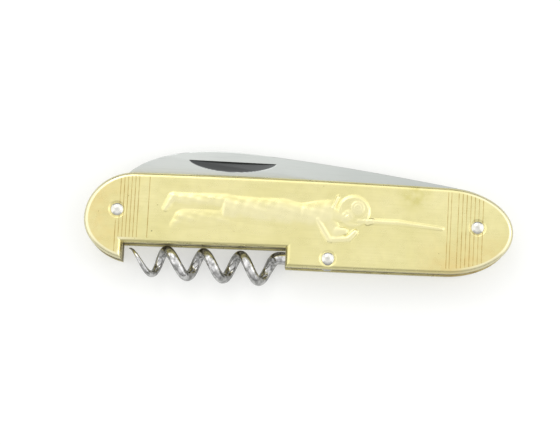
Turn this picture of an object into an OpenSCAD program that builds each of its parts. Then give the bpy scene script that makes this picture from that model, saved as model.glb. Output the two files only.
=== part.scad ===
// Folding sailor's knife with a side corkscrew: pressed brass covers over steel liners, one
// back spring, one blade. It is drawn folded and lying on its rear cover.
// X runs along the handle, Y across it towards the blade's back, Z through the thickness.
// z = 0 is the top of the rear cover's raised figure, x = y = 0 the middle of the whole outline.

/* [Handle] */
// Length of the handle
handle_length = 95.2; // [88:0.1:102]
// Width of the handle at its middle
handle_width = 19.5; // [18.5:0.1:21]
// How much each long side draws in where the round ends begin
side_crown = 0.3; // [0:0.05:0.8]
// Length of the round end at the blade pin
right_end = 14.85; // [12:0.05:17]
// Length of the round end at the spring pin
left_end = 11.35; // [10:0.05:14]
// How far the left end's widest point lies below the middle line
left_end_drop = 1.1; // [0.6:0.1:1.5]
// Reach of the left end below its widest point, down to the beak
beak_reach = 9.2; // [8:0.05:9.5]
// Width of the bevel around the outer edge of each cover
edge_bevel = 0.45; // [0.2:0.05:0.6]

/* [Layers] */
// Space between the two liners, where blade, spring and corkscrew lie
well = 3; // [2.6:0.1:3.4]
// Thickness of each steel liner
liner_sheet = 0.7; // [0.5:0.05:1]
// Depth of each pressed cover, from liner to outer face
cover_depth = 2.6; // [2.2:0.1:3.2]
// Thickness of the brass sheet
cover_sheet = 0.5; // [0.45:0.05:0.7]
// How far the steel liner shows outside the brass
liner_show = 0.1; // [0.05:0.05:0.3]
// Height of the raised figure on each cover
figure_height = 0.4; // [0.2:0.05:0.5]
// Gap beside the blade, the spring and the corkscrew, on each face
side_play = 0.05; // [0.03:0.01:0.08]
// Gap between the packing and the wall of its cover
packing_play = 0.1; // [0.05:0.05:0.3]

/* [Grooves] */
// Width of each cross groove
groove_width = 0.35; // [0.2:0.05:0.45]
// Depth of each cross groove
groove_depth = 0.2; // [0.1:0.05:0.3]
// Number of close-set grooves at the left end
left_grooves = 6; // [3:1:6]
// Distance between neighbouring grooves at the left end
left_groove_pitch = 0.81; // [0.7:0.01:1]
// Distance from the left end to the first groove
left_groove_start = 7.95; // [6.5:0.05:9]
// Distance from the left group to the lone groove beside it
left_groove_gap = 2.3; // [1.5:0.1:2.6]
// Number of close-set grooves at the right end
right_grooves = 7; // [3:1:7]
// Distance between neighbouring grooves at the right end
right_groove_pitch = 0.91; // [0.7:0.01:1]
// Distance from the right end to the first groove
right_groove_start = 7; // [6.5:0.05:9]
// Distance from the right group to the pair of grooves beside it
right_groove_gap = 1.6; // [1.3:0.1:2.6]
// Bare margin between a groove's ends and the edge of the cover
groove_margin = 0.9; // [0.7:0.05:1.5]

/* [Corkscrew notch] */
// Distance from the left end to the notch
beak_length = 8.95; // [8:0.05:9.5]
// Length of the notch
notch_length = 36.1; // [32:0.1:40]
// Depth of the notch where the corkscrew enters the handle
notch_depth = 4.2; // [4:0.1:4.8]
// How much shallower the notch is at its other end
notch_rise = 0.6; // [0:0.1:0.8]

/* [Pins] */
// Radius of the three pins
pin_r = 1; // [0.85:0.05:1.1]
// Radius of a pin's domed head
head_r = 1.55; // [1.45:0.05:1.7]
// Height of a pin's domed head
head_height = 0.7; // [0.55:0.05:0.75]
// Depth of the dimple that the head sits in
dimple_depth = 0.3; // [0.2:0.05:0.4]
// Width of the dimple's sloping side
dimple_flare = 0.5; // [0.3:0.05:0.7]
// Radial gap of a pin in the holes of covers, packing, liners and spring
pin_fit = 0.02; // [0.01:0.01:0.03]
// Radial gap of a pin in the blade and in the corkscrew
pivot_play = 0.04; // [0.02:0.01:0.08]
// Distance from the right end to the blade pin
blade_pin_inset = 8.05; // [7.2:0.05:8.4]
// Distance from the left end to the spring pin
spring_pin_inset = 7.35; // [6.4:0.05:7.4]
// Height of the blade pin and the spring pin over the middle line
end_pin_rise = 0.82; // [0.4:0.02:1.1]
// Distance from the notch to the corkscrew pin
corkscrew_pin_inset = 9.4; // [8:0.1:10.5]
// Height of the corkscrew pin over the handle's lower side
corkscrew_pin_rise = 2; // [1.95:0.05:2.2]

/* [Blade] */
// Angle of the folded blade's edge to the handle
blade_tilt = 6; // [5.5:0.1:6.4]
// Radius of the round tang that the spring bears on
tang_r = 4.1; // [3.9:0.05:4.3]
// Distance from the blade pin to the highest point of the blade's back
crest_reach = 56; // [52:0.5:60]
// Height of that point over the blade pin, folded
crest_height = 14.5; // [13.5:0.01:14.8]
// How far the back falls from that point to the handle
back_fall = 5.05; // [4.5:0.01:5.3]
// Distance along which it falls
back_run = 48; // [46:0.5:50]
// How far the tang's back stands out of the handle
tang_show = 0.35; // [0.1:0.05:0.5]
// How far the point lies past the middle of the spring pin, along the handle
point_over = 0.7; // [0:0.1:1]
// Height of the ground flat over the edge
grind_height = 9.5; // [8:0.1:11]
// Thickness of the edge
edge_thickness = 0.3; // [0.2:0.05:0.5]
// Length of the full-thickness part in front of the pin
ricasso = 9; // [7:0.5:11]
// Length of the nail nick
nick_length = 19.5; // [16:0.1:22]
// Width of the nail nick
nick_width = 2.2; // [1.6:0.1:2.4]
// Depth of the nail nick at its straight side
nick_depth = 0.6; // [0.4:0.05:0.8]
// Distance from the blade pin to the middle of the nail nick
nick_reach = 54.9; // [50:0.1:58]
// Distance from the nick's straight side up to the crest of the back
nick_drop = 2.3; // [1.8:0.1:2.6]

/* [Spring] */
// Radius of the spring's eye around its pin
spring_eye_r = 2.6; // [2.2:0.1:2.8]
// Depth of the spring over the corkscrew's eye
spring_depth = 3.6; // [3:0.1:4]
// Depth of the spring's end under the tang
spring_tail = 3; // [2.6:0.1:3.2]
// Gap between the spring and the two pieces that turn against it
spring_play = 0.06; // [0.03:0.01:0.1]
// Length of the spring's flat end on each side of the blade pin
spring_land = 2.6; // [2:0.1:3]
// Relief of the spring below its flat end
spring_relief = 0.5; // [0.3:0.1:0.8]

/* [Corkscrew] */
// Radius of the corkscrew's eye
eye_r = 2.3; // [2.1:0.05:2.4]
// Radius of its straight shank
shank_r = 1.4; // [1.2:0.05:1.4]
// Radius of the wire in the worm
wire_r = 1.1; // [0.9:0.05:1.2]
// Radius of the helix, to the middle of the wire
helix_r = 2.7; // [2.4:0.05:3]
// Sixteenths of a turn in the worm
worm_sixteenths = 64; // [50:2:80]
// Turns over which the wire is pointed
point_turns = 1; // [0.4:0.1:1.2]
// Gap between the worm's point and the beak
worm_end_gap = 2.4; // [1:0.05:3]
// Distance from the notch's wall to the start of the worm
worm_start_gap = 0.8; // [0.8:0.1:2]
// Length in which the straight shank bends into the helix
bend_length = 2; // [1.5:0.1:2.5]
// How far the last turn's upper side leans towards the point
worm_skew = 1.1; // [0:0.1:1.3]
// How far the worm leans towards the handle at its point
worm_lean = 0.45; // [0:0.05:0.5]

/* [Figure] */
// Distance from the left end to the figure's feet
figure_start = 17.35; // [15:0.05:19]
// Length of the figure's legs and smock, up to the neck
figure_length = 37; // [34:0.5:40]
// Radius of the figure's head with its hat
figure_head_r = 3.4; // [3:0.1:3.8]
// Length of the pole past the head
pole_length = 15.5; // [12:0.5:17]
// Width of the pole
pole_width = 0.9; // [0.6:0.1:1.2]

/* [Hidden] */
$fn = 64;

eps = 0.01;
half_length = handle_length / 2;
half_width = handle_width / 2;
arc_steps = 16;
side_steps = 6;
ring_sides = 12;
back_power = 1.37;
nose_power = 2.2;
nose_part = 0.996;
spine_steps = 18;
nose_steps = 16;

// Heights through the thickness.
z_mid = figure_height + cover_depth + liner_sheet + well / 2;
liner_top = well / 2 + liner_sheet;
face_top = liner_top + cover_depth;

// Plan positions, from the middle of the handle.
blade_pin_at = [half_length - blade_pin_inset, end_pin_rise];
spring_pin_at = [spring_pin_inset - half_length, end_pin_rise];
notch_left = beak_length - half_length;
notch_right = notch_left + notch_length;
corkscrew_pin_at = [notch_right + corkscrew_pin_inset, corkscrew_pin_rise - half_width];
pins_at = [blade_pin_at, spring_pin_at, corkscrew_pin_at];

// The worm: where its helix starts, its axis and its pitch.
worm_start = notch_right - worm_start_gap;
worm_turns = worm_sixteenths / 16;
worm_pitch = (worm_start - bend_length / 2 - notch_left - worm_end_gap) / worm_turns;
worm_y = corkscrew_pin_at.y - helix_r;

// The whole outline is centred on y = 0.
lowest = worm_y + worm_lean / worm_turns / 2 - helix_r - wire_r;
highest = blade_pin_at.y + crest_height;
shift_y = -(lowest + highest) / 2;

// Outline of the handle, drawn in by "inset".
function side_y(x) = half_width - side_crown * pow(x / (half_length - right_end), 2);
function ellipse_arc(centre, rx, ry, from, to) =
    [for (i = [0 : arc_steps]) let (a = from + (to - from) * i / arc_steps)
        [centre.x + rx * cos(a), centre.y + ry * sin(a)]];
function upper_side(inset) =
    [for (i = [1 : side_steps - 1])
        let (x = half_length - right_end + (left_end + right_end - handle_length) * i / side_steps)
        [x, side_y(x) - inset]];
function lower_side(inset) =
    [for (i = [0 : side_steps - 1])
        let (x = notch_left + (half_length - right_end - notch_left) * i / side_steps)
        [x, -side_y(x) + inset]];
function handle_points(inset) =
    let (right_x = half_length - right_end, left_x = left_end - half_length,
         beak_angle = -acos((notch_left - left_x) / (left_end - inset)))
    concat(
        ellipse_arc([right_x, 0], right_end - inset, side_y(right_x) - inset, -90, 90),
        upper_side(inset),
        ellipse_arc([left_x, -left_end_drop], left_end - inset,
                    side_y(left_x) + left_end_drop - inset, 90, 180),
        ellipse_arc([left_x, -left_end_drop], left_end - inset, beak_reach - inset,
                    180, 360 + beak_angle),
        lower_side(inset));

module handle_outline(inset) polygon(handle_points(inset));

// The notch is drawn out by "margin", for the walls and the packing around it.
module notch_outline(margin) {
    roof = notch_depth - half_width + margin;
    polygon([[notch_left - margin, -handle_width],
             [notch_left - margin, roof - notch_rise],
             [notch_right + margin, roof],
             [notch_right + margin, -handle_width]]);
}

module notched_outline(inset) {
    difference() {
        handle_outline(inset);
        notch_outline(inset);
    }
}

module pin_holes(length, radius) {
    for (p = pins_at)
        translate([p.x, p.y, -length / 2]) cylinder(r = radius, h = length);
}

// Places of the grooves along the handle: each group is counted from its own end inwards.
left_group_end = left_groove_start + (left_grooves - 1) * left_groove_pitch;
right_group_end = right_groove_start + (right_grooves - 1) * right_groove_pitch;
grooves_x = concat(
    [for (i = [0 : left_grooves - 1]) left_groove_start + i * left_groove_pitch - half_length],
    [for (i = [0 : right_grooves - 1]) half_length - right_groove_start - i * right_groove_pitch],
    [left_group_end + left_groove_gap - half_length],
    [for (i = [0, 1]) half_length - right_group_end - right_groove_gap - 2 * i * groove_width]);

module grooves() {
    translate([0, 0, face_top - groove_depth])
        linear_extrude(groove_depth + eps)
            intersection() {
                for (x = grooves_x)
                    translate([x - groove_width / 2, -half_width])
                        square([groove_width, handle_width]);
                notched_outline(liner_show + groove_margin);
            }
}

module dimples() {
    for (p = pins_at)
        translate([p.x, p.y, face_top - dimple_depth])
            cylinder(r1 = head_r + eps, r2 = head_r + dimple_flare, h = dimple_depth + eps / 10);
}

// A man in a smock and a round hat who stands along the handle and holds a pole.
foot_x = figure_start - half_length;
neck_x = foot_x + figure_length;
figure_y = 2.6;
hem_x = foot_x + 13;
waist_x = neck_x - 7;
head_at = [neck_x + figure_head_r + 1.4, 3.4];
elbow_at = [neck_x + 0.8, -3.4];
pole_from = [head_at.x, 2.6];
pole_to = [head_at.x + figure_head_r + pole_length, 0];

module figure_outline() {
    polygon([[foot_x, figure_y + 1.8], [hem_x, figure_y + 2.4], [waist_x, figure_y + 1.6],
             [neck_x, figure_y + 2.6], [head_at.x, figure_y + 1], [neck_x, figure_y - 2],
             [waist_x, figure_y - 1], [hem_x, figure_y - 3.2], [foot_x, figure_y - 3.2]]);
    polygon([[neck_x - 2, figure_y - 1], elbow_at, [elbow_at.x + 2.2, elbow_at.y],
             [head_at.x + 1, figure_y - 2], [head_at.x, figure_y]]);
    translate(head_at) circle(r = figure_head_r);
    polygon([[pole_from.x, pole_from.y - pole_width / 2], [pole_to.x, pole_to.y - pole_width / 2],
             [pole_to.x, pole_to.y + pole_width / 2], [pole_from.x, pole_from.y + pole_width / 2]]);
}

// One cover lies over the middle plane; the other is its mirror image.
module cover() {
    difference() {
        union() {
            hull() {
                translate([0, 0, liner_top])
                    linear_extrude(cover_depth - edge_bevel) handle_outline(liner_show);
                translate([0, 0, liner_top])
                    linear_extrude(cover_depth) handle_outline(liner_show + edge_bevel);
            }
            translate([0, 0, face_top - cover_sheet])
                linear_extrude(cover_sheet + figure_height) figure_outline();
        }
        translate([0, 0, liner_top - eps])
            linear_extrude(cover_depth - cover_sheet + eps)
                notched_outline(liner_show + cover_sheet);
        translate([0, 0, liner_top - 1])
            linear_extrude(cover_depth + 2) notch_outline(liner_show);
        grooves();
        dimples();
        pin_holes(4 * face_top, pin_r + pin_fit);
    }
}

// The packing fills the hollow behind the brass, so that the pins can clamp it.
module packing() {
    difference() {
        translate([0, 0, liner_top])
            linear_extrude(cover_depth - cover_sheet)
                notched_outline(liner_show + cover_sheet + packing_play);
        pin_holes(4 * face_top, pin_r + pin_fit);
    }
}

module liner() {
    difference() {
        translate([0, 0, well / 2]) linear_extrude(liner_sheet) notched_outline(0);
        pin_holes(4 * face_top, pin_r + pin_fit);
    }
}

module in_place() translate([0, shift_y, z_mid]) children();
module in_place_behind() translate([0, shift_y, z_mid]) mirror([0, 0, 1]) children();

module front_cover() color("khaki") in_place() cover();
module rear_cover() color("khaki") in_place_behind() cover();
module front_packing() color("burlywood") in_place() packing();
module rear_packing() color("burlywood") in_place_behind() packing();
module front_liner() color("slategray") in_place() liner();
module rear_liner() color("slategray") in_place_behind() liner();

// Pins with a dome at each end, peened over the covers.
dome_r = (head_r * head_r + head_height * head_height) / (2 * head_height);
module pin_head() {
    translate([0, 0, face_top - dimple_depth])
        intersection() {
            cylinder(r = head_r, h = head_height);
            translate([0, 0, head_height - dome_r]) sphere(r = dome_r);
        }
}

module pin(at) {
    color("silver") in_place() translate([at.x, at.y, 0]) {
        translate([0, 0, dimple_depth - face_top])
            cylinder(r = pin_r, h = 2 * (face_top - dimple_depth));
        pin_head();
        mirror([0, 0, 1]) pin_head();
    }
}

module blade_pin() pin(blade_pin_at);
module corkscrew_pin() pin(corkscrew_pin_at);
module spring_pin() pin(spring_pin_at);

// The blade's outline, folded. Distances run left from the blade pin, heights up from it.
flat_thickness = well - 2 * side_play;
point_reach = blade_pin_at.x - spring_pin_at.x + point_over;
nose_length = (point_reach - crest_reach) / nose_part;
function edge_height(d) = d * tan(blade_tilt) - tang_r / cos(blade_tilt);
function nose_shape(part) = 1 - pow(1 - pow(part, nose_power), 1 / nose_power);
nose_drop = (crest_height - edge_height(point_reach)) / nose_shape(nose_part);
function tang_top(d) =
    let (x = blade_pin_at.x - d, part = max(x - half_length + right_end, 0) / right_end)
    side_y(half_length - right_end) * sqrt(1 - part * part) + tang_show - blade_pin_at.y;
function back_height(d) =
    d > crest_reach
    ? crest_height - nose_drop * nose_shape((d - crest_reach) / nose_length)
    : min(crest_height - back_fall * pow((crest_reach - d) / back_run, back_power),
          d < ricasso / 2 ? tang_top(d) : crest_height);

// The shoulder behind the back meets the spring's end when the blade is open.
blade_open = 180 - blade_tilt;
shoulder_gap = 0.15;
spring_end = 0.5;
function shoulder(r) =
    let (s = spring_end + shoulder_gap)
    [s * cos(blade_open) + r * sin(blade_open), s * sin(blade_open) - r * cos(blade_open)];
shoulder_top_d = -shoulder(tang_top(0)).x;

function blade_points() = concat(
    [[0, 0]],
    [[-tang_r * sin(blade_tilt), -tang_r * cos(blade_tilt)]],
    [for (i = [nose_steps : -1 : 1])
        let (d = crest_reach + (point_reach - crest_reach) * (1 - pow(1 - i / nose_steps, 2)))
        [-d, back_height(d)]],
    [for (i = [0 : spine_steps])
        let (d = crest_reach + (shoulder_top_d - crest_reach) * i / spine_steps)
        [-d, back_height(d)]],
    [shoulder(tang_r * 0.8)]);

// What grinding takes off one face, from the edge up to the line of the full thickness.
module ground_off() {
    rotate([0, 0, -blade_tilt]) mirror([1, 0, 0])
        translate([ricasso, -tang_r, 0]) rotate([90, 0, 90])
            linear_extrude(point_reach)
                polygon([[-1, flat_thickness], [-1, edge_thickness / 2], [0, edge_thickness / 2],
                         [grind_height, flat_thickness / 2], [grind_height, flat_thickness]]);
}

// The nick is the scoop of a large round cutter, deepest along its straight side.
nick_r = (nick_length * nick_length / 4 + nick_depth * nick_depth) / (2 * nick_depth);
nick_slope = atan(nick_depth / nick_width);
module nick() {
    translate([-nick_reach, crest_height - nick_drop, flat_thickness / 2])
        rotate([90 - nick_slope, 0, 0])
            translate([0, nick_r - nick_depth / cos(nick_slope), -nick_depth])
                cylinder(r = nick_r, h = 3 * nick_width + nick_depth, $fn = 180);
}

module blade() {
    color("gainsboro") in_place() translate([blade_pin_at.x, blade_pin_at.y, 0])
        difference() {
            translate([0, 0, -flat_thickness / 2]) {
                linear_extrude(flat_thickness) polygon(blade_points());
                cylinder(r = tang_r, h = flat_thickness);
            }
            ground_off();
            mirror([0, 0, 1]) ground_off();
            difference() {
                nick();
                translate([-nick_reach - nick_length, crest_height - nick_drop, -well])
                    cube([2 * nick_length, nick_length, 2 * well]);
            }
            translate([0, 0, -well]) cylinder(r = pin_r + pivot_play, h = 2 * well);
        }
}

// The back spring: pinned at the left, it passes over the corkscrew's eye and ends under the tang.
spring_under = corkscrew_pin_at.y + eye_r + spring_play;
land_y = blade_pin_at.y - tang_r - spring_play;
module back_spring() {
    color("lightsteelblue") in_place()
        difference() {
            translate([0, 0, -flat_thickness / 2])
                linear_extrude(flat_thickness)
                    union() {
                        polygon([
                            [spring_pin_at.x, spring_pin_at.y - spring_eye_r],
                            [corkscrew_pin_at.x - eye_r, spring_under],
                            [corkscrew_pin_at.x + eye_r, spring_under],
                            [blade_pin_at.x + spring_end, land_y - spring_tail],
                            [blade_pin_at.x + spring_end, land_y],
                            [blade_pin_at.x - spring_land, land_y],
                            [blade_pin_at.x - 2 * spring_land, land_y - spring_relief],
                            [corkscrew_pin_at.x, spring_under + spring_depth],
                            [spring_pin_at.x, spring_pin_at.y + spring_eye_r]]);
                        translate(spring_pin_at) circle(r = spring_eye_r);
                    }
            pin_holes(2 * well, pin_r + pin_fit);
        }
}

// The corkscrew: a flat eye, a straight shank, and the wire swept round a helix.
bend_angle = 180 * bend_length / worm_pitch;
function helix_run(a) =
    a < bend_angle ? sqrt(bend_length * worm_pitch * a / 180) : bend_length / 2 + worm_pitch * a / 360;
function helix_slope(a) =
    a < bend_angle ? sqrt(bend_length * worm_pitch / (180 * max(a, 0.5))) / 2 : worm_pitch / 360;
function axis_y(a) = worm_y + worm_lean * max(a, 0) / (360 * worm_turns);
function skew(a) = worm_skew * max(a, 0) / (360 * worm_turns) * (1 + cos(a)) / 2;
function wire_at(a) =
    [worm_start - helix_run(a) - skew(a), axis_y(a) + helix_r * cos(a), -helix_r * sin(a)];
function wire_radius(a) =
    let (left = worm_turns - a / 360)
    left < point_turns
    ? max(wire_r * pow(left / point_turns, 0.6), 0.08)
    : wire_r + (shank_r - wire_r) * max(0, 1 - a / 90);

function ring(centre, tangent, radial, r) =
    let (t = tangent / norm(tangent), n = radial, b = cross(t, n))
    [for (k = [0 : ring_sides - 1]) let (w = 360 * k / ring_sides)
        centre + r * (cos(w) * n + sin(w) * b)];
function worm_ring(a) =
    let (turn = helix_r * PI / 180)
    ring(wire_at(a), [-helix_slope(a), -turn * sin(a), -turn * cos(a)],
         [0, cos(a), -sin(a)], wire_radius(a));
bend_angles = [for (i = [1 : 4]) bend_angle * i * i / 16];
worm_angles = concat(bend_angles, [for (i = [3 : worm_sixteenths]) if (i * 22.5 > bend_angle + 4) i * 22.5]);
shank_start = corkscrew_pin_at.x - (eye_r + pin_r) / 2;
worm_points = concat(
    ring([shank_start, corkscrew_pin_at.y, 0], [-1, 0, 0], [0, 1, 0], shank_r),
    ring([worm_start, corkscrew_pin_at.y, 0], [-1, 0, 0], [0, 1, 0], shank_r),
    [for (a = worm_angles) each worm_ring(a)]);
ring_count = len(worm_points) / ring_sides;
worm_faces = concat(
    [[for (k = [0 : ring_sides - 1]) k]],
    [for (i = [0 : ring_count - 2], k = [0 : ring_sides - 1])
        let (a = i * ring_sides + k, b = i * ring_sides + (k + 1) % ring_sides)
        each [[a, a + ring_sides, b], [b, a + ring_sides, b + ring_sides]]],
    [[for (k = [ring_sides - 1 : -1 : 0]) (ring_count - 1) * ring_sides + k]]);

module corkscrew() {
    color("silver") in_place()
        difference() {
            union() {
                polyhedron(worm_points, worm_faces);
                intersection() {
                    translate([corkscrew_pin_at.x, corkscrew_pin_at.y, -flat_thickness / 2])
                        cylinder(r = eye_r, h = flat_thickness);
                    translate([corkscrew_pin_at.x - eye_r, -half_width + liner_show, -well])
                        cube([2 * eye_r, handle_width, 2 * well]);
                }
            }
            translate([corkscrew_pin_at.x, corkscrew_pin_at.y, -well])
                cylinder(r = pin_r + pivot_play, h = 2 * well);
        }
}

front_cover();
rear_cover();
front_packing();
rear_packing();
front_liner();
rear_liner();
back_spring();
blade();
corkscrew();
blade_pin();
corkscrew_pin();
spring_pin();
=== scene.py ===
"""Sailor's folding knife with pressed brass covers, one blade and a side corkscrew, shown folded."""

import math

import bpy
import numpy as np
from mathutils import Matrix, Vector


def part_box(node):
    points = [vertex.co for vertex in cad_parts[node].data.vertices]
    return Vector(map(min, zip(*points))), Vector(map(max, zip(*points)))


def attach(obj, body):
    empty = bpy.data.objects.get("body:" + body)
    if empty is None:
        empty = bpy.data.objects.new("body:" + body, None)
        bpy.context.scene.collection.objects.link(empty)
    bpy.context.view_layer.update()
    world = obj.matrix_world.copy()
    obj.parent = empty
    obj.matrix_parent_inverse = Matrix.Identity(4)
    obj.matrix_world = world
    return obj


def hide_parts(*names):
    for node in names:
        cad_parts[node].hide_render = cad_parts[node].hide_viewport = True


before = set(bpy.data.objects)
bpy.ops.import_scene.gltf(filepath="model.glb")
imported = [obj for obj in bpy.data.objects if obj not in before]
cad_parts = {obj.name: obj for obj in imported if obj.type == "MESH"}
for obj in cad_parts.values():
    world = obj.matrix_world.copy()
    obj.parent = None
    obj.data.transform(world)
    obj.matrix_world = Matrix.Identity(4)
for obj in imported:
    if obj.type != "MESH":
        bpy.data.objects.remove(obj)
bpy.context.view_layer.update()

# ---- Table, light and camera ----
# The knife lies on its rear cover on a white sheet, in a tent of white cloth: a lit ceiling with
# a brighter ring round it, a dimmer front and a dark gap all round the horizon. The camera looks
# almost straight down.

MM = 0.001

camera_tilt = math.radians(7)
camera_turn = math.radians(3)
camera_distance = 450
view_width = 123.6
look_at = np.array([-4.1, sum(c[1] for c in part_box("front_cover")) / 2 / MM - 0.2, 10])
sensor_width = 36

back_off = np.array([math.sin(camera_turn) * math.sin(camera_tilt),
                     -math.cos(camera_turn) * math.sin(camera_tilt),
                     math.cos(camera_tilt)])
camera = bpy.data.objects.new("camera", bpy.data.cameras.new("camera"))
camera.data.sensor_width = sensor_width
camera.data.lens = sensor_width * camera_distance / view_width
camera.data.clip_start = 0.01
camera.location = (look_at + camera_distance * back_off) * MM
camera.rotation_euler = (camera_tilt, 0, camera_turn)
bpy.context.scene.collection.objects.link(camera)
bpy.context.scene.camera = camera
bpy.context.scene.view_settings.view_transform = "Standard"


def add_lamp(name, place, size, watts):
    """A square soft box at a place in metres, turned to the middle of the knife."""
    lamp = bpy.data.objects.new(name, bpy.data.lights.new(name, "AREA"))
    lamp.data.size = size
    lamp.data.energy = watts
    lamp.location = place
    lamp.rotation_euler = (-lamp.location).to_track_quat("-Z", "Y").to_euler()
    bpy.context.scene.collection.objects.link(lamp)


add_lamp("box_behind", (-0.35, 0.75, 0.9), 0.5, 1.2)
add_lamp("box_right", (0.9, 0.2, 0.8), 0.4, 0.8)


class Nodes:
    """A node tree that is built up one node at a time."""

    def __init__(self, tree):
        self.tree = tree

    def add(self, kind, inputs=(), **settings):
        """One node. Each input is a plain value or another node's output."""
        node = self.tree.nodes.new(kind)
        for name, value in settings.items():
            setattr(node, name, value)
        for name, value in dict(inputs).items():
            if isinstance(value, bpy.types.NodeSocket):
                self.tree.links.new(value, node.inputs[name])
            else:
                node.inputs[name].default_value = value
        return node

    def band(self, value, low, high, start=0, end=1):
        """The start number where the value is below low, the end one above high, a ramp between."""
        return self.add("ShaderNodeMapRange", {
            "Value": value, "From Min": low, "From Max": high, "To Min": start, "To Max": end}).outputs[0]

    def math(self, operation, a, b):
        return self.add("ShaderNodeMath", {0: a, 1: b}, operation=operation).outputs[0]

    def mix(self, factor, a, b):
        """Colour a where the factor is 0, colour b where it is 1."""
        a, b = [c if isinstance(c, bpy.types.NodeSocket) else (*c, 1) for c in (a, b)]
        return self.add("ShaderNodeMixRGB", {"Fac": factor, "Color1": a, "Color2": b}).outputs[0]


world = bpy.data.worlds.new("tent")
bpy.context.scene.world = world
world.use_nodes = True
world.node_tree.nodes.clear()
tent = Nodes(world.node_tree)
toward = tent.add("ShaderNodeSeparateXYZ", {0: tent.add("ShaderNodeTexCoord").outputs["Generated"]})
east, north, up = toward.outputs
aside = tent.math("MULTIPLY", tent.math("ABSOLUTE", east, 0), 0.6)
behind = tent.band(tent.math("SUBTRACT", north, aside), 0.15, 0.5)
in_front = tent.band(tent.math("SUBTRACT", tent.math("MULTIPLY", north, -1), aside), -0.05, 0.35)
low_gap = tent.band(up, 0.03, 0.14, 0.1, 1)
ceiling = tent.band(up, 0.8, 0.985, 1.32, 0.97)
back_gap = tent.math("MAXIMUM", tent.band(up, 0.2, 0.45, 0.12, 1), tent.band(behind, 0, 1, 1, 0))
front_gap = tent.math("MAXIMUM", tent.band(up, 0.35, 0.985, 0.4, 1), tent.band(in_front, 0, 1, 1, 0))
gaps = tent.math("MULTIPLY", low_gap, tent.math("MULTIPLY", back_gap, front_gap))
light_path = tent.add("ShaderNodeLightPath")
shine = tent.math("MAXIMUM", tent.math("MULTIPLY", gaps, ceiling), light_path.outputs["Is Camera Ray"])
glow = tent.add("ShaderNodeBackground", {"Strength": shine, "Color": (1, 1, 1, 1)})
tent.add("ShaderNodeOutputWorld", {"Surface": glow.outputs[0]})


class Finish(Nodes):
    """A procedural material on the piece's own place in millimetres."""

    def __init__(self, name, color, metallic, roughness):
        self.material = bpy.data.materials.new(name)
        self.material.use_nodes = True
        super().__init__(self.material.node_tree)
        self.shader = self.tree.nodes["Principled BSDF"]
        self.shader.inputs["Metallic"].default_value = metallic
        self.shader.inputs["Base Color"].default_value = (*color, 1)
        self.shader.inputs["Roughness"].default_value = roughness
        self.object_place = self.add("ShaderNodeTexCoord").outputs["Object"]
        self.place = self.stretched((1, 1, 1))
        self.x, self.y, self.z = self.add("ShaderNodeSeparateXYZ", {0: self.place}).outputs

    def stretched(self, scale, turn=0):
        """The place in millimetres, turned about Z and scaled along each axis."""
        node = self.add("ShaderNodeMapping", {
            "Vector": self.object_place, "Rotation": (0, 0, turn),
            "Scale": tuple(1000 * s for s in scale)})
        return node.outputs[0]

    def noise(self, scale, detail=3, place=None, rough=0.5):
        return self.add("ShaderNodeTexNoise", {
            "Vector": place or self.place, "Scale": scale, "Detail": detail,
            "Roughness": rough}).outputs[0]

    def near(self, centre, reach):
        """1 at a place in millimetres, falling evenly to 0 at the reach."""
        away = self.add("ShaderNodeVectorMath", {0: self.place, 1: centre}, operation="DISTANCE")
        return self.band(away.outputs["Value"], 0, reach, 1, 0)

    def attribute(self, name):
        return self.add("ShaderNodeAttribute", attribute_name=name).outputs["Fac"]

    def bump(self, height, distance, strength=1.0, under=None):
        inputs = {"Height": height, "Distance": distance * MM, "Strength": strength}
        if under:
            inputs["Normal"] = under
        return self.add("ShaderNodeBump", inputs).outputs[0]

    def set(self, name, value):
        self.tree.links.new(value, self.shader.inputs[name])


sheet = bpy.data.objects.new("white_sheet", bpy.data.meshes.new("white_sheet"))
sheet_half = 1.5
sheet.data.from_pydata([(-sheet_half, -sheet_half, 0), (sheet_half, -sheet_half, 0),
                        (sheet_half, sheet_half, 0), (-sheet_half, sheet_half, 0)],
                       [], [(0, 1, 2, 3)])
bpy.context.scene.collection.objects.link(sheet)

paper = Finish("white_cloth", (0.55, 0.555, 0.545), 0.0, 0.9)
ray = paper.add("ShaderNodeLightPath").outputs
direct = paper.math("MAXIMUM", ray["Is Camera Ray"], paper.math("MULTIPLY", ray["Is Glossy Ray"], 0.3))
direct = paper.math("MAXIMUM", direct, ray["Is Transmission Ray"])
paper.shader.inputs["Emission Color"].default_value = (1, 1, 0.99, 1)
paper.set("Emission Strength", paper.math("MULTIPLY", direct, 0.45))
paper.shader.inputs["Specular IOR Level"].default_value = 0
sheet.data.materials.append(paper.material)


# ---- Brass covers ----
# Each cover is one sheet of brass, pressed into a shallow tray over the liner: a flat face with
# a rounded rim, a figure in low relief, cross grooves at both ends and a dimple for each pin.


def box_mm(node):
    """The lowest and highest corner of a CAD node, in millimetres."""
    low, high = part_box(node)
    return np.array(low) * 1000, np.array(high) * 1000


def grid_faces(index):
    """Quads of a grid of vertex numbers, facing up where columns run along X and rows along Y."""
    return np.stack([index[:-1, :-1], index[:-1, 1:], index[1:, 1:], index[1:, :-1]],
                    axis=-1).reshape(-1, 4)


def ring_faces(inner, outer):
    """Quads between two closed loops of vertex numbers that run the same way round."""
    return np.stack([inner, outer, np.roll(outer, -1), np.roll(inner, -1)], axis=-1)


def add_piece(name, points, faces, body, crease=40):
    """A mesh from points in millimetres, smooth except where two faces meet at over the crease."""
    mesh = bpy.data.meshes.new(name)
    mesh.from_pydata(np.asarray(points) * MM, [], [list(map(int, f)) for f in faces])
    mesh.update()
    mesh.polygons.foreach_set("use_smooth", np.ones(len(mesh.polygons), bool))
    mesh.set_sharp_from_angle(angle=math.radians(crease))
    piece = bpy.data.objects.new(name, mesh)
    bpy.context.scene.collection.objects.link(piece)
    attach(piece, body)
    return piece


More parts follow.
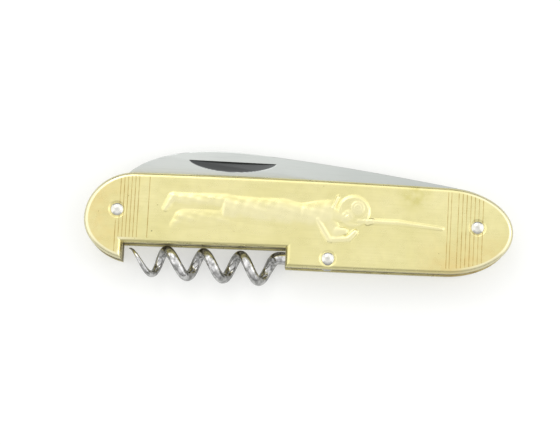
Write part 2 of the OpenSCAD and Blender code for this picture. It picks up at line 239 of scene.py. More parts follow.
def store(piece, name, values):
    """A number for each vertex, which the piece's material reads by name."""
    piece.data.attributes.new(name, "FLOAT", "POINT").data.foreach_set(
        "value", np.asarray(values, np.float32))


cover_low, cover_high = box_mm("front_cover")
liner_low, liner_high = box_mm("front_liner")
rear_low = box_mm("rear_cover")[0]
middle_y = (cover_low[1] + cover_high[1]) / 2
half_length = liner_high[0]
half_width = (liner_high[1] - liner_low[1]) / 2
liner_show = liner_high[0] - cover_high[0]
cover_base = cover_low[2]
figure_height = 0.4
cover_face = cover_high[2] - figure_height
cover_sheet = 0.5
side_crown = 0.3
right_centre = half_length - 14.85
left_centre = 11.35 - half_length
left_drop = 1.1
beak_reach = 9.2
notch_left = 8.95 - half_length
notch_right = notch_left + 36.1
notch_roof = 4.2 - half_width
notch_rise = 0.6
rim = 1.1
dimple_depth = 0.3
pin_head_r = 1.55


def pin_place(node):
    """The middle of a pin, from the middle of the handle."""
    low, high = box_mm(node)
    return (low[0] + high[0]) / 2, (low[1] + high[1]) / 2 - middle_y


pin_places = [pin_place(n) for n in ("blade_pin", "spring_pin", "corkscrew_pin")]


def side_y(x):
    """Half the handle's width: a parabola, widest in the middle."""
    return half_width - side_crown * (x / right_centre) ** 2


def end_arc(x, centre, reach, height):
    """Height of an elliptical end over its axis, and 0 outside it."""
    return height * np.sqrt(np.clip(1 - ((x - centre) / reach) ** 2, 0, None))


def outline_top(x, inset):
    """Upper side of the handle, drawn in by the inset: an arc, a long parabola, an arc."""
    left = -left_drop + end_arc(x, left_centre, half_length + left_centre - inset,
                                side_y(left_centre) + left_drop - inset)
    right = end_arc(x, right_centre, half_length - right_centre - inset,
                    side_y(right_centre) - inset)
    return np.where(x < left_centre, left, np.where(x > right_centre, right, side_y(x) - inset))


def outline_low(x, inset):
    """Lower side of the handle, without the notch."""
    left = -left_drop - end_arc(x, left_centre, half_length + left_centre - inset,
                                beak_reach - inset)
    right = -end_arc(x, right_centre, half_length - right_centre - inset,
                     side_y(right_centre) - inset)
    return np.where(x < notch_right - 1, left, np.where(x > right_centre, right, inset - side_y(x)))


def smooth_step(value, low, high):
    """0 below low, 1 above high, and an S between."""
    part = np.clip((value - low) / (high - low), 0, 1)
    return part * part * (3 - 2 * part)


def spaced(stops):
    """Places from the first stop on. Each further stop is (place, greatest step up to there)."""
    parts = [np.array([stops[0]])]
    start = stops[0]
    for place, step in stops[1:]:
        count = max(1, int(np.ceil(abs(place - start) / step)))
        parts.append(np.linspace(start, place, count + 1)[1:])
        start = place
    return np.concatenate(parts)


left_first = 7.95 - half_length
right_first = half_length - 7
left_group = left_first + 0.81 * np.arange(6)
right_group = right_first - 0.91 * np.arange(7)
lone_groove = left_group[-1] + 2.3
right_pair = right_group[-1] - 1.6 - np.array([0.7, 0])
short_groove = left_first - 0.75
groove_places = np.concatenate([left_group, [lone_groove], right_pair, right_group])
groove_width = 0.3
groove_depth = 0.03
groove_margin = 0.9

corner_left = notch_left - liner_show - rim
corner_right = notch_right + liner_show + rim
left_reach = half_length + left_centre - liner_show - rim
right_reach = half_length - right_centre - liner_show - rim
end_angle = math.radians(6)
turn_left = math.acos((left_centre + 43) / left_reach)
turn_right = math.acos((42.6 - right_centre) / right_reach)
columns = np.concatenate([
    left_centre - left_reach * np.cos(np.linspace(end_angle, turn_left, 24))[:-1],
    spaced([-43, (-41, 0.15), (short_groove, 0.067), (corner_left, 0.067), (left_first, 0.067),
            *[(g, 0.068) for g in left_group[1:]], (-35.3, 0.075), (-33.6, 0.28),
            (lone_groove, 0.07), (-33, 0.07), (corner_right, 0.2), (7.2, 0.2), (16.2, 0.08),
            (32.5, 0.25), *[(g, 0.068) for g in right_pair], (33.9, 0.07), (34.9, 0.25),
            *[(g, 0.07) for g in right_group[::-1]], (41, 0.07), (42.6, 0.2)]),
    right_centre + right_reach * np.cos(np.linspace(turn_right, end_angle, 24))[1:]])
at_left = int(np.argmin(abs(columns - corner_left)))
at_right = int(np.argmin(abs(columns - corner_right)))
upper_rows = spaced([0, (0.27, 0.021), (0.72, 0.007), (1, 0.019)])
lower_rows = np.linspace(0, 1, 23)[:-1]


def cover_grid(inset):
    """X and Y of the face's grid, drawn in by the inset.

    Columns run from the left end to the right end, and squeeze a little so that the notch's two
    corners stay on a column. The upper rows share out the way from the notch's roof, or the line
    that carries it on through both ends, to the upper side; the lower rows the way down to the
    lower side. The first and the last column are bent to the round of their end."""
    x = np.interp(columns, [left_centre - left_reach, corner_left, corner_right,
                            right_centre + right_reach],
                  [inset - half_length, notch_left - inset, notch_right + inset,
                   half_length - inset])
    top, low = outline_top(x, inset), outline_low(x, inset)
    roof_left = notch_roof - notch_rise + inset
    roof_right = notch_roof + inset
    part_left = (left_drop + roof_left) / (left_drop + low[at_left])
    part_right = roof_right / low[at_right]
    roof = np.interp(x, [x[at_left], x[at_right]], [roof_left, roof_right])
    roof[:at_left] = part_left * (low[:at_left] + left_drop) - left_drop
    roof[at_right:] = part_right * low[at_right:]
    upper_y = roof + upper_rows[:, None] * (top - roof)
    lower_y = low + lower_rows[:, None] * (roof - low)
    upper_x, lower_x = [np.broadcast_to(x, y.shape).copy() for y in (upper_y, lower_y)]
    for grid_x, grid_y in ((upper_x, upper_y), (lower_x, lower_y)):
        rise = grid_y[:, 0] + left_drop
        tall = np.where(rise > 0, side_y(left_centre) + left_drop, beak_reach) - inset
        grid_x[:, 0] = left_centre - end_arc(rise, 0, tall, half_length + left_centre - inset)
        grid_x[:, -1] = right_centre + end_arc(grid_y[:, -1], 0, side_y(right_centre) - inset,
                                               half_length - right_centre - inset)
    return upper_x, upper_y, lower_x, lower_y


def walk_round(upper, lower):
    """What lies along the face's edge, counter-clockwise from the low end of the left end."""
    return np.concatenate([
        lower[0, :at_left + 1], lower[1:, at_left], upper[0, at_left:at_right + 1],
        lower[:0:-1, at_right], lower[0, at_right:], lower[1:, -1], upper[:, -1],
        upper[-1, -2::-1], upper[-2::-1, 0], lower[:0:-1, 0]])


def limb(x, y, start, end, r_start, r_end, height, sharp=0.6):
    """A rounded ridge along a line: height * (1 - (distance / radius)^2) ^ sharp, whose radius
    changes evenly from one end of the line to the other."""
    run = np.subtract(end, start)
    part = np.clip(((x - start[0]) * run[0] + (y - start[1]) * run[1]) / (run @ run), 0, 1)
    distance = np.hypot(x - start[0] - part * run[0], y - start[1] - part * run[1])
    radius = r_start + (r_end - r_start) * part
    return height * np.clip(1 - (distance / radius) ** 2, 0, None) ** sharp


def melted(parts, sharp=16):
    """Ridges joined with soft valleys: the logarithm of the sum of their exponentials."""
    return np.log(sum(np.exp(sharp * p) for p in parts) - len(parts) + 1) / sharp


def along(x, stops, column):
    """One column of a list of stops, read at x and rounded over 1.2 mm on each side."""
    stops = np.array(stops)
    return np.mean([np.interp(x + s, stops[:, 0], stops[:, column])
                    for s in (-1.2, -0.6, 0, 0.6, 1.2)], axis=0)


def man_with_pole(x, y):
    """Height of the pressed figure over the face: a man in trousers and a smock, who stands
    along the handle, wears a round hat and holds a long pole in front of him."""
    legs = melted([
        limb(x, y, (-16, 3.7), (-27.4, 3.8), 1.9, 1.6, 0.25, 1.1),
        limb(x, y, (-28.0, 4.0), (-29.5, 1.6), 1.35, 0.85, 0.30, 1.1),
        limb(x, y, (-16, -0.1), (-25.4, -0.5), 2.2, 2.3, 0.18, 1.1),
        limb(x, y, (-26.3, -0.2), (-27.5, -2.0), 1.4, 1.0, 0.2, 1.2)])
    creases = (np.sin(1.7 * x + 2.3 * y) + np.sin(2.9 * x - 1.3 * y + 1) + np.sin(0.9 * x + 4.1 * y))
    legs += 0.014 * creases * smooth_step(legs, 0.05, 0.2)
    # stops: x, top, bottom
    smock = [(-17.2, 5.4, -0.9), (-12.9, 5.3, -0.5), (-9.3, 5.1, -0.9), (-3.2, 5.3, -1.3),
             (0.3, 4.3, -1.1), (2.7, 4.9, -1.4), (5.7, 5.5, -1.6), (9, 5.7, 0.6)]
    top, low = along(x, smock, 1), along(x, smock, 2)
    across = (2 * y - top - low) / (top - low)
    cloth = 0.34 * np.clip(1 - across ** 2, 0, None) ** 0.95
    folds = (0.022 * np.sin(1.1 * x + 2.2 * across) + 0.014 * np.sin(4.2 * across + 0.35 * x)
             + 0.014 * np.sin(2.6 * x - 1.8 * across) + 0.008 * creases)
    belt = np.exp(-((x - 0.3 - 0.1 * across) / 0.4) ** 2)
    cloth += (folds - 0.04 * belt) * smooth_step(cloth, 0.05, 0.25)
    cloth *= smooth_step(x, -17.9, -16.3) * smooth_step(-x, -8.6, -6.6)
    hem = 0.03 * np.exp(-((x + 16.5) / 0.3) ** 2) * smooth_step(cloth, 0.05, 0.2)
    body = np.maximum(legs, cloth + hem)

    sleeve = melted([
        limb(x, y, (5.6, 2.2), (8.3, -2.0), 1.9, 1.5, 0.24),
        limb(x, y, (4.1, 0.9), (6.9, -3.4), 0.7, 0.75, 0.38),
        limb(x, y, (7.1, -3.5), (11.2, -3.1), 0.75, 0.8, 0.33),
        limb(x, y, (8.6, -1.5), (10.2, -1.4), 1.1, 0.9, 0.34)])
    fist = limb(x, y, (11.5, -2.7), (12.6, -1.5), 0.8, 0.7, 0.38)
    fist -= 0.04 * np.cos(7.5 * (x - 0.6 * y)) ** 8 * smooth_step(fist, 0.1, 0.3)
    other_fist = limb(x, y, (15.2, 0.9), (16.2, 1.1), 0.85, 0.7, 0.34)
    pole = limb(x, y, (13.2, 1.0), (22, 1.0), 0.85, 0.85, 0.27, 1.5)
    pole = np.maximum(pole, limb(x, y, (22, 1.0), (31.6, 0.2), 0.85, 0.6, 0.25, 1.5))
    return np.minimum(melted([np.maximum(body, sleeve), fist, other_fist, pole,
                              hat_and_head(x, y)], 24), figure_height)


def hat_and_head(x, y):
    """The man's head, turned 40 degrees from the handle's length, in a round straw hat.

    The hat is a disc with a soft raised edge for its brim and a low dome for its crown. The face
    is an oval with the plain proportions of a drawing book: eyes half way up the head, nose half
    way from there to the chin, mouth a third of the way below the nose."""
    reach = np.hypot(x - 12.05, y - 3.0)
    brim = 0.2 * smooth_step(3.9 - reach, 0, 0.9)
    brim += 0.05 * np.exp(-((reach - 3.2) / 0.42) ** 2)
    roll = limb(x, y, (8.5, 6.0), (7.5, 3.6), 0.5, 0.45, 0.33)
    from_crown = np.hypot(x - 12.9, y - 3.9)
    crown = 0.38 * np.clip(1 - (from_crown / 2.6) ** 2, 0, None) ** 0.9
    round_crown = np.arctan2(y - 3.9, x - 12.9)
    plait = np.cos(10 * from_crown) * (1 + 0.5 * np.cos(14 * round_crown + 5 * from_crown))
    crown += 0.014 * plait * smooth_step(crown, 0.06, 0.2)
    brim += 0.008 * plait * smooth_step(brim, 0.1, 0.16)

    tilt = math.radians(40)
    up = (x - 10.7) * math.cos(tilt) + (y - 1.95) * math.sin(tilt)
    side = (y - 1.95) * math.cos(tilt) - (x - 10.7) * math.sin(tilt)
    oval = 1 - (up / 2.0) ** 2 - (side / (1.45 + 0.1 * up)) ** 2
    face = 0.33 * np.clip(oval, 0, None) ** 0.4
    inside = smooth_step(face, 0.12, 0.24)

    def spot(at_up, at_side, r_up, r_side):
        return np.exp(-((up - at_up) / r_up) ** 2 - ((side - at_side) / r_side) ** 2)

    nose = 0.08 * spot(0.0, 0, 0.45, 0.19) + 0.05 * spot(-0.42, 0, 0.19, 0.3)
    brow = 0.03 * (spot(0.62, 0.5, 0.16, 0.4) + spot(0.62, -0.5, 0.16, 0.4))
    sockets = -0.05 * (spot(0.3, 0.52, 0.22, 0.34) + spot(0.3, -0.52, 0.22, 0.34))
    lids = 0.04 * (spot(0.28, 0.52, 0.12, 0.22) + spot(0.28, -0.52, 0.12, 0.22))
    cheeks = 0.025 * (spot(-0.35, 0.75, 0.4, 0.35) + spot(-0.35, -0.75, 0.4, 0.35))
    lips = 0.04 * spot(-0.83, 0, 0.18, 0.42) - 0.04 * spot(-0.83, 0, 0.07, 0.4)
    chin = 0.03 * spot(-1.35, 0, 0.25, 0.4)
    face += (nose + brow + sockets + lids + cheeks + lips + chin) * inside
    neck = limb(x, y, (7.4, 2.2), (9.2, 1.6), 1.6, 1.2, 0.26)
    return np.maximum(melted([brim, roll, face, neck], 26), crown)


def grooves(x, y):
    """Share of the cross grooves' depth: a cosine hump across each, fading out short of both sides.
    The first at the left runs only from the spring pin down."""
    depth = np.zeros_like(x)
    for place in groove_places:
        depth += np.cos(np.pi * np.clip((x - place) / groove_width, -0.5, 0.5)) ** 2
    below = smooth_step(-y, 1.2, 2)
    depth += below * np.cos(np.pi * np.clip((x - short_groove) / groove_width, -0.5, 0.5)) ** 2
    room = np.minimum(outline_top(x, liner_show) - y, y - np.where(
        x < corner_left, outline_low(x, liner_show), np.where(
            x < corner_right, notch_roof - notch_rise, outline_low(x, liner_show))))
    return depth * smooth_step(room, groove_margin - 0.35, groove_margin + 0.25)


def dimples(x, y):
    """Depth of the dimples: flat under the pin's head, then a slope up to the face."""
    depth = np.zeros_like(x)
    for pin_x, pin_y in pin_places:
        away = np.hypot(x - pin_x, y - pin_y)
        depth += dimple_depth * (1 - smooth_step(away, pin_head_r - 0.15, pin_head_r + 0.45))
    return depth


def face_z(x, y):
    """Height of the pressed face over its flat."""
    return man_with_pole(x, y) - groove_depth * grooves(x, y) - dimples(x, y)


upper_x, upper_y, lower_x, lower_y = cover_grid(liner_show + rim)
used = np.ones(len(columns), bool)
used[at_left + 1:at_right] = False
upper_index = np.arange(upper_x.size).reshape(upper_x.shape)
lower_index = np.zeros(lower_x.shape, int)
lower_index[:, used] = upper_x.size + np.arange(used.sum() * len(lower_rows)).reshape(
    len(lower_rows), -1)
face_x = np.concatenate([upper_x.ravel(), lower_x[:, used].ravel()])
face_y = np.concatenate([upper_y.ravel(), lower_y[:, used].ravel()])
cover_points = [np.column_stack([face_x, face_y, cover_face + face_z(face_x, face_y)])]
with_roof = np.vstack([lower_index, upper_index[:1]])
cover_faces = [grid_faces(upper_index), grid_faces(with_roof[:, :at_left + 1]),
               grid_faces(with_roof[:, at_right:])]

# The edge: a quarter round, the outer wall down to the liner, then back up inside the sheet.
rounds = np.radians(np.linspace(0, 90, 10)[1:])
edge_loops = [(liner_show + rim * (1 - math.sin(a)), cover_face - rim * (1 - math.cos(a)))
              for a in rounds]
edge_loops += [(liner_show, cover_base + 0.9), (liner_show, cover_base),
               (liner_show + cover_sheet, cover_base),
               (liner_show + cover_sheet, cover_face - cover_sheet)]
last_loop = walk_round(upper_index, lower_index)
count = len(face_x)
for step, (inset, z) in enumerate(edge_loops):
    grid = cover_grid(inset)
    loop_x, loop_y = walk_round(grid[0], grid[2]), walk_round(grid[1], grid[3])
    pressed = face_z(loop_x, loop_y) * (step < len(rounds))
    cover_points.append(np.column_stack([loop_x, loop_y, z + pressed]))
    loop = count + np.arange(len(loop_x))
    cover_faces.append(ring_faces(last_loop, loop))
    last_loop = loop
    count += len(loop)
cover_points = np.concatenate(cover_points) + [0, middle_y, 0]
cover_faces = [list(f) for f in np.concatenate(cover_faces)] + [list(last_loop[::-1])]


def brass():
    """Pale polished brass: faint clouds and fine lengthwise scratches, a few dark specks, orange
    tarnish at the ends, dark tarnish in the grooves, an olive stain near the head, and paler
    places on the figure's high spots and the rims at both ends, partly handling wear and partly
    a painted highlight."""
    finish = Finish("brass_pressed", (0.82, 0.745, 0.37), 1.0, 0.3)
    clouds = finish.noise(0.11, 5)
    color = finish.mix(finish.band(clouds, 0.35, 0.7), (0.78, 0.715, 0.345), (0.85, 0.78, 0.41))
    drawn = finish.noise(1.0, 4, finish.stretched((0.12, 3.5, 1), 0.02))
    color = finish.mix(finish.band(drawn, 0.45, 0.75, 0, 0.35), color, (0.70, 0.64, 0.29))
    patchy = finish.band(finish.noise(0.55, 4), 0.35, 0.65)
    ends = finish.math("MAXIMUM", finish.band(finish.x, -44, -34, 0.75, 0),
                       finish.math("MULTIPLY", finish.band(finish.x, 24, 36, 0, 1.3),
                                   finish.band(finish.y, -10, 0, 1, 0)))
    color = finish.mix(finish.math("MULTIPLY", ends, finish.band(patchy, 0, 1, 0.4, 1)),
                       color, (0.78, 0.63, 0.275))
    stain = finish.math("MULTIPLY", finish.band(finish.near((25.5, 7, 10), 4.5), 0, 0.6), patchy)
    color = finish.mix(finish.math("MULTIPLY", stain, 0.7), color, (0.66, 0.60, 0.22))
    specks = finish.band(finish.noise(1.1, 1), 0.775, 0.80)
    color = finish.mix(finish.math("MULTIPLY", specks, 0.7), color, (0.22, 0.19, 0.08))
    groove = finish.attribute("groove")
    color = finish.mix(finish.math("MULTIPLY", groove, finish.band(patchy, 0, 1, 0.5, 0.9)),
                       color, (0.40, 0.27, 0.075))
    # Paler on the figure's high spots and the end rims: partly wear, partly a painted highlight.
    color = finish.mix(finish.attribute("worn"), color, (0.88, 0.82, 0.53))
    finish.set("Base Color", color)
    finish.set("Roughness", finish.band(finish.noise(0.5, 5), 0.3, 0.7, 0.24, 0.36))
    waves = finish.bump(finish.noise(0.22, 3), 0.05, 0.3)
    finish.set("Normal", finish.bump(drawn, 0.004, 0.5, waves))
    return finish.material


brass_finish = brass()
upside_down = np.array([1, 1, -1])
mirror_height = [0, 0, rear_low[2] + cover_high[2]]
covers = [add_piece("front_cover_brass", cover_points, cover_faces, "handle"),
          add_piece("rear_cover_brass", cover_points * upside_down + mirror_height,
                    [f[::-1] for f in cover_faces], "handle")]
in_groove = np.concatenate([grooves(face_x, face_y), np.zeros(count - len(face_x))])
# Handling wear and a painted highlight make the rim at both ends and the figure's high places pale.
pale_wear_and_highlight = np.zeros(count)
pale_wear_and_highlight[:len(face_x)] = 0.55 * smooth_step(man_with_pole(face_x, face_y), 0.1, 0.34)
rim_x, rim_y, rim_z = (cover_points[len(face_x):] - [0, middle_y, 0]).T
at_ends = smooth_step(abs(rim_x), 33, 41) * (rim_z > cover_face - rim)
from_beak = np.hypot(rim_x - left_centre, rim_y + left_drop)
outside_notch = smooth_step(from_beak, beak_reach - 1.6, beak_reach - 1.2)
pale_wear_and_highlight[len(face_x):] = at_ends * np.where(rim_y < notch_roof, outside_notch, 1)
for cover, node in zip(covers, ("front_cover", "rear_cover")):
    cover.data.materials.append(brass_finish)
    store(cover, "groove", np.minimum(1.4 * in_groove, 1))
    store(cover, "worn", pale_wear_and_highlight)
    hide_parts(node)


# ---- Wood packing ----
# A slip of beech fills each cover's hollow, so that the pins can clamp the thin brass. It is
# sawn to the cover's inside and shows only where the pins pass.


def paint(node, material):
    """Gives a CAD node's mesh its finish."""
    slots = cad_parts[node].data.materials
    slots.clear()
    slots.append(material)


wood = Finish("beech", (0.55, 0.38, 0.22), 0.0, 0.6)
grain = wood.noise(1.2, 4, wood.stretched((0.12, 1, 1)))
wood.set("Base Color", wood.mix(grain, (0.42, 0.27, 0.14), (0.68, 0.50, 0.31)))
wood.set("Normal", wood.bump(grain, 0.05, 0.6))
for node in ("front_packing", "rear_packing"):
    paint(node, wood.material)


# ---- Steel liners ----
# Two flat plates, blanked from 0.7 mm steel to the same outline as the covers and a hair
# larger, lie between the brass and the blade. Only their edges show, dull and a little rusty.


def dull_steel(name, light, dark, rust):
    """Blanked or forged steel left as it came: grey, blotched, with patches of rust."""
    finish = Finish(name, light, 1.0, 0.42)
    blotches = finish.noise(0.5, 4)
    color = finish.mix(blotches, dark, light)
    rusty = finish.band(finish.noise(0.8, 5), 0.55, 0.72)
    finish.set("Base Color", finish.mix(finish.math("MULTIPLY", rusty, 0.6), color, rust))
    finish.set("Roughness", finish.band(blotches, 0, 1, 0.5, 0.32))
    drawn = finish.noise(2.5, 3, finish.stretched((0.2, 1, 3)))
    finish.set("Normal", finish.bump(drawn, 0.01, 0.5))
    return finish.material


liner_finish = dull_steel("liner_plate", (0.50, 0.46, 0.34), (0.30, 0.27, 0.18), (0.26, 0.15, 0.06))
for node in ("front_liner", "rear_liner"):
    paint(node, liner_finish)


# ---- Back spring ----
# One strip of hardened steel on the pin at the left end, which passes over the corkscrew's eye
# and bears on the blade's tang.

paint("back_spring", dull_steel("spring_strip", (0.72, 0.70, 0.60), (0.50, 0.47, 0.38),
                                (0.34, 0.22, 0.10)))


# ---- Corkscrew ----
# Steel wire wound into an open helix with a ground point, bent into a straight shank whose
# flattened end turns on a pin beside the notch. It is nickel plated and polished.


def facing_out(points, faces):
    """The faces, turned over if the closed surface's volume comes out negative."""
    volume = 0
    for face in faces:
        a, b, c = points[face[0]], points[face[1:-1]], points[face[2:]]
        volume += np.sum(np.cross(b, c) @ a)
    return faces if volume > 0 else [f[::-1] for f in faces]


def tube_faces(ring_count, sides, first=0):
    """Faces of a closed tube: quads from ring to ring and one flat face over each end."""
    rings = first + np.arange(ring_count * sides).reshape(ring_count, sides)
    quads = np.concatenate([ring_faces(rings[i], rings[i + 1]) for i in range(ring_count - 1)])
    return [list(q) for q in quads] + [list(rings[0]), list(rings[-1][::-1])]


blade_low, blade_high = box_mm("blade")
middle_z = (blade_low[2] + blade_high[2]) / 2
flat_half = (blade_high[2] - blade_low[2]) / 2
corkscrew_pin_x, corkscrew_pin_y = pin_places[2]
pivot_r = 1.04
eye_r = 2.3
shank_r = 1.4
wire_r = 1.1
helix_r = 2.7
worm_turns = 4
point_turns = 1
bend_length = 2
worm_lean = 0.45
worm_skew = 1.1
worm_start = notch_right - 0.8
worm_pitch = (worm_start - bend_length / 2 - notch_left - 2.4) / worm_turns
bend_angle = math.pi * bend_length / worm_pitch


def worm_wire(turn):
    """Centre and radius of the wire at a turning angle: it advances with the square root of the
    angle in the bend and evenly after it, each turn's upper side leans a little further towards
    the point, and the last turn thins to that point."""
    run = np.where(turn < bend_angle, np.sqrt(bend_length * worm_pitch * turn / math.pi),
                   bend_length / 2 + worm_pitch * turn / (2 * math.pi))
    part = turn / (2 * math.pi * worm_turns)
    centre = np.column_stack([worm_start - run - worm_skew * part * (1 + np.cos(turn)) / 2,
                              corkscrew_pin_y + worm_lean * part - helix_r * (1 - np.cos(turn)),
                              -helix_r * np.sin(turn)])
    left = worm_turns - turn / (2 * math.pi)
    radius = np.where(left < point_turns,
                      np.maximum(wire_r * np.clip(left / point_turns, 0, 1) ** 0.6, 0.08),
                      wire_r + (shank_r - wire_r) * np.clip(1 - turn / (math.pi / 2), 0, 1))
    return centre, radius


wire_sides = 28
turns = np.concatenate([bend_angle * np.linspace(0.02, 1, 12) ** 2,
                        np.linspace(bend_angle, 2 * math.pi * worm_turns, 190)[1:]])
wire_centre, wire_radius = worm_wire(turns)
shank_x = np.linspace(corkscrew_pin_x - (eye_r + 1) / 2, worm_start, 8)[:-1]
centres = np.vstack([np.column_stack([shank_x, np.full(7, corkscrew_pin_y), np.zeros(7)]),
                     wire_centre])
radii = np.concatenate([np.full(7, shank_r), wire_radius])
outward = np.vstack([np.tile([0, 1, 0], (7, 1)),
                     np.column_stack([0 * turns, np.cos(turns), -np.sin(turns)])])
heading = np.gradient(centres, axis=0)
heading /= np.linalg.norm(heading, axis=1)[:, None]
outward -= np.sum(outward * heading, axis=1)[:, None] * heading
outward /= np.linalg.norm(outward, axis=1)[:, None]
beside = np.cross(heading, outward)
round_wire = np.linspace(0, 2 * math.pi, wire_sides, endpoint=False)
wire_points = (centres[:, None] + radii[:, None, None] * (
    np.cos(round_wire)[:, None] * outward[:, None] + np.sin(round_wire)[:, None] * beside[:, None]))

# The eye: a flat ring with rounded edges, cut off level with the handle's lower side.
edge_round = 0.35
corner = np.radians(np.linspace(0, 90, 5))
eye_profile = np.concatenate([
    [[pivot_r, -flat_half], [pivot_r, flat_half]],
    np.column_stack([eye_r - edge_round + edge_round * np.sin(corner),
                     flat_half - edge_round + edge_round * np.cos(corner)]),
    np.column_stack([eye_r - edge_round + edge_round * np.cos(corner),
                     edge_round - flat_half - edge_round * np.sin(corner)])])
eye_turn = np.linspace(0, 2 * math.pi, 64, endpoint=False)
eye_points = np.stack([
    corkscrew_pin_x + eye_profile[:, 0] * np.cos(eye_turn)[:, None],
    np.maximum(corkscrew_pin_y + eye_profile[:, 0] * np.sin(eye_turn)[:, None],
               liner_show - half_width),
    np.broadcast_to(eye_profile[:, 1], (64, len(eye_profile)))], axis=-1)
eye_index = wire_points.shape[0] * wire_sides + np.arange(64 * len(eye_profile)).reshape(64, -1)
eye_faces = np.concatenate([ring_faces(eye_index[i], eye_index[(i + 1) % 64]) for i in range(64)])

corkscrew_points = np.concatenate([wire_points.reshape(-1, 3), eye_points.reshape(-1, 3)])
wire_faces = facing_out(corkscrew_points, tube_faces(len(centres), wire_sides))
eye_faces = facing_out(corkscrew_points, [list(f) for f in eye_faces])
corkscrew = add_piece("corkscrew_wire", corkscrew_points + [0, middle_y, middle_z],
                      wire_faces + eye_faces, "corkscrew")
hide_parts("corkscrew")

plating = Finish("nickel_plating", (0.66, 0.65, 0.64), 1.0, 0.12)
worn = plating.noise(0.9, 5)
tarnish = plating.band(worn, 0.42, 0.6)
plating.set("Base Color", plating.mix(tarnish, (0.72, 0.715, 0.71), (0.36, 0.36, 0.35)))
plating.set("Roughness", plating.band(tarnish, 0, 1, 0.1, 0.24))
plating.set("Normal", plating.bump(plating.noise(0.9, 4), 0.12, 0.5))
corkscrew.data.materials.append(plating.material)


# ---- Blade ----
# Stamped steel, ground with two flat bevels from the edge up, polished lengthwise. A long nail
# nick is stamped into the front face below the back. Its round tang turns on the right-hand pin.

blade_pin_x, blade_pin_y = pin_places[0]
spring_pin_x = pin_places[1][0]
blade_tilt = math.radians(6)
tang_r = 4.1
crest_reach = 56
crest_height = blade_high[1] - middle_y - blade_pin_y
point_reach = blade_pin_x - spring_pin_x + 0.7
nose_part = 0.996
nose_power = 2.2
nose_length = (point_reach - crest_reach) / nose_part
grind_height = 9.5
ricasso = 9
thin_edge = 0.07
back_round = 0.12
nick_length = 19.5
nick_width = 2.25
nick_depth = 0.6
nick_middle = 54.9
nick_line = crest_height - 2.3


def edge_height(d):
    """Height of the edge over the pin: a straight line that touches the round tang."""
    return d * math.tan(blade_tilt) - tang_r / math.cos(blade_tilt)


def nose_shape(part):
    """A superellipse's fall, from 0 at its top to 1 at its end."""
    return 1 - (1 - np.clip(part, 0, 1) ** nose_power) ** (1 / nose_power)


nose_drop = (crest_height - edge_height(point_reach)) / nose_shape(nose_part)


def back_height(d):
    """Height of the back over the pin: round nose, long fall to the handle, then the tang."""
    nose = crest_height - nose_drop * nose_shape((d - crest_reach) / nose_length)
    fall = crest_height - 5.05 * (np.clip(crest_reach - d, 0, None) / 48) ** 1.37
    tang = outline_top(blade_pin_x - d, 0) + 0.35 - blade_pin_y
    return np.where(d > crest_reach, nose, np.where(d < ricasso / 2, np.minimum(fall, tang), fall))


main_d = np.concatenate([
    point_reach - (point_reach - 66) * np.linspace(0.02, 1, 60) ** 2,
    np.linspace(66, 43.6, 180)[1:], np.linspace(43.6, 1.3, 160)[1:]])
under_shoulder = np.linspace(1.2, 0.75, 17)
tang_bottom = np.radians(np.linspace(-99, 50, 40))
shoulder = np.column_stack([np.linspace(-0.15, 0.2, 9), np.linspace(back_height(0) - 0.25, 4.1, 9)])
tang_back_d = np.linspace(1.2, 0, 8)
tang_back = np.column_stack([tang_back_d, back_height(tang_back_d)])
tang_top_angle = np.radians(np.linspace(92, 50.5, 40))
bottom = np.vstack([
    np.column_stack([main_d, edge_height(main_d)]),
    np.column_stack([under_shoulder, edge_height(under_shoulder)]),
    np.column_stack([-tang_r * np.cos(tang_bottom), tang_r * np.sin(tang_bottom)])])
top = np.vstack([
    np.column_stack([main_d, np.maximum(back_height(main_d), edge_height(main_d) + 0.05)]),
    tang_back, shoulder,
    np.column_stack([-tang_r * np.cos(tang_top_angle), tang_r * np.sin(tang_top_angle)])])

tall = np.maximum(top[:, 1] - bottom[:, 1], 0.05)
nick_part = np.minimum((nick_line - bottom[:, 1]) / tall, 0.9)
nick_part[len(main_d):] = nick_part[len(main_d) - 1]
low_part = nick_part * (1 - 0.27 * np.clip(tall / 12, 0, 1))
wall_part = nick_part + 0.07 / np.maximum(tall, 8)
rise = np.linspace(0, 1, 27)
climb = np.linspace(0, 1, 23)[1:]
crown_rows = 1 - (1 - np.linspace(0, 1, 13)[1:]) ** 1.6
rows = np.concatenate([low_part[:, None] * rise,
                       low_part[:, None] + (nick_part - low_part)[:, None] * climb,
                       wall_part[:, None],
                       wall_part[:, None] + (1 - wall_part)[:, None] * crown_rows], axis=1)
blade_d = bottom[:, :1] + rows * (top[:, :1] - bottom[:, :1])
blade_h = bottom[:, 1:] + rows * (top[:, 1:] - bottom[:, 1:])


def half_thickness(d, h):
    """Half the blade's thickness: full in the tang, a straight bevel up from the edge in front
    of it, and a quarter round along the back."""
    over_edge = (h - edge_height(d)) * math.cos(blade_tilt)
    bevel = thin_edge + (flat_half - thin_edge) * np.clip(over_edge / grind_height, 0, 1)
    front = smooth_step(d, ricasso - 1.4, ricasso + 1.4)
    thick = bevel * front + flat_half * (1 - front)
    from_back = np.clip((top[:, 1:] - h) / back_round, 0, 1)
    return thick - back_round * (1 - np.sqrt(1 - (1 - from_back) ** 2)) * (thick > back_round)


def nick_dent(d, h):
    """Depth of the nick: it slopes down from a bow-shaped lower side to its straight upper side."""
    bow = np.clip(1 - (2 * (d - nick_middle) / nick_length) ** 2, 0, 1)
    width = nick_width * bow ** 0.65
    slope = np.clip((h - nick_line + width) / np.maximum(width, 0.01), 0, 1)
    return nick_depth * bow ** 0.6 * slope ** 0.8 * (h < nick_line + 1e-6)


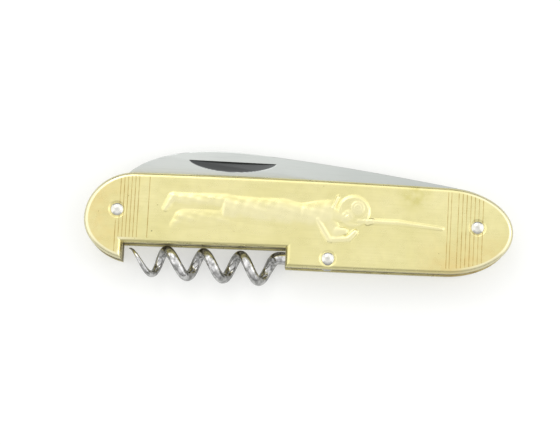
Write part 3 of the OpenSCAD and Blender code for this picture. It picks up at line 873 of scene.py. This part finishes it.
thick = half_thickness(blade_d, blade_h)
dent = nick_dent(blade_d, blade_h)
front_z, rear_z = thick - dent, -thick
blade_x, blade_y = blade_pin_x - blade_d, blade_pin_y + blade_h
blade_loops = np.stack([np.hstack([blade_x, blade_x[:, ::-1]]), np.hstack([blade_y, blade_y[:, ::-1]]),
                        np.hstack([front_z, rear_z[:, ::-1]])], axis=-1)
blade_points = blade_loops.reshape(-1, 3)
blade_faces = facing_out(blade_points, tube_faces(len(blade_loops), blade_loops.shape[1]))
blade = add_piece("blade_steel", blade_points + [0, middle_y, middle_z], blade_faces,
                  "blade", 28)
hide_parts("blade")
# The nick's inside is painted near black: painted shade and dark reflection in the stamped scoop.
store(blade, "nick", np.hstack([smooth_step(dent, 0.0, 0.04), 0 * dent[:, ::-1]]).ravel())

steel = Finish("blade_polish", (0.62, 0.645, 0.62), 1.0, 0.3)
cloudy = steel.noise(0.12, 4)
color = steel.mix(cloudy, (0.62, 0.65, 0.625), (0.67, 0.69, 0.665))
# Darker towards the handle end: painted shade where the covers shade the sunken blade.
color = steel.mix(steel.band(steel.x, -24, 25), color, (0.54, 0.57, 0.545))
lines = steel.noise(1.0, 4, steel.stretched((0.15, 4, 1), -0.08))
color = steel.mix(steel.band(lines, 0.5, 0.8, 0, 0.25), color, (0.45, 0.47, 0.45))
# Painted shade and dark reflection: the nick's inside near black.
color = steel.mix(steel.attribute("nick"), color, (0.075, 0.078, 0.078))
steel.set("Base Color", color)
steel.set("Roughness", steel.band(cloudy, 0, 1, 0.25, 0.38))
steel.set("Normal", steel.bump(steel.noise(3, 3, steel.stretched((0.1, 3, 1), -0.08)), 0.005, 0.4))
blade.data.materials.append(steel.material)


# ---- Pins ----
# Three pins of nickel silver wire pass through covers, packing and liners. Each end is peened
# to a low dome in its dimple, and the blade and the corkscrew turn on two of them.

pin_sides = 56


def pin_points(node):
    """A pin, spun round its axis: a shaft between two domes, each a cap of a sphere."""
    low, high = box_mm(node)
    centre = (low + high) / 2
    head = (high[0] - low[0]) / 2
    half_height = (high[2] - low[2]) / 2
    dome_height = 0.7
    dome_r = (head ** 2 + dome_height ** 2) / (2 * dome_height)
    sweep = np.linspace(0.04, math.asin(head / dome_r), 14)
    dome = np.column_stack([dome_r * np.sin(sweep), half_height - dome_r + dome_r * np.cos(sweep)])
    under = [[head - 0.05, dome[-1, 1] - 0.06], [1.0, dome[-1, 1] - 0.06]]
    profile = np.vstack([dome, under])
    profile = np.vstack([profile, profile[::-1] * [1, -1]])
    spin = np.linspace(0, 2 * math.pi, pin_sides, endpoint=False)
    return np.stack([centre[0] + profile[:, :1] * np.cos(spin),
                     centre[1] + profile[:, :1] * np.sin(spin),
                     centre[2] + np.repeat(profile[:, 1:], pin_sides, axis=1)], axis=-1)


silver = Finish("nickel_silver", (0.74, 0.73, 0.67), 1.0, 0.14)
hammered = silver.noise(0.9, 3)
silver.set("Base Color", silver.mix(silver.band(hammered, 0.4, 0.7), (0.78, 0.77, 0.72),
                                    (0.66, 0.65, 0.57)))
silver.set("Roughness", silver.band(hammered, 0, 1, 0.1, 0.24))
silver.set("Normal", silver.bump(hammered, 0.03, 0.4))
for node in ("blade_pin", "spring_pin", "corkscrew_pin"):
    spun = pin_points(node)
    pin_faces = facing_out(spun.reshape(-1, 3), tube_faces(len(spun), pin_sides))
    pin = add_piece(node + "_peened", spun.reshape(-1, 3), pin_faces, "handle")
    pin.data.materials.append(silver.material)
    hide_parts(node)
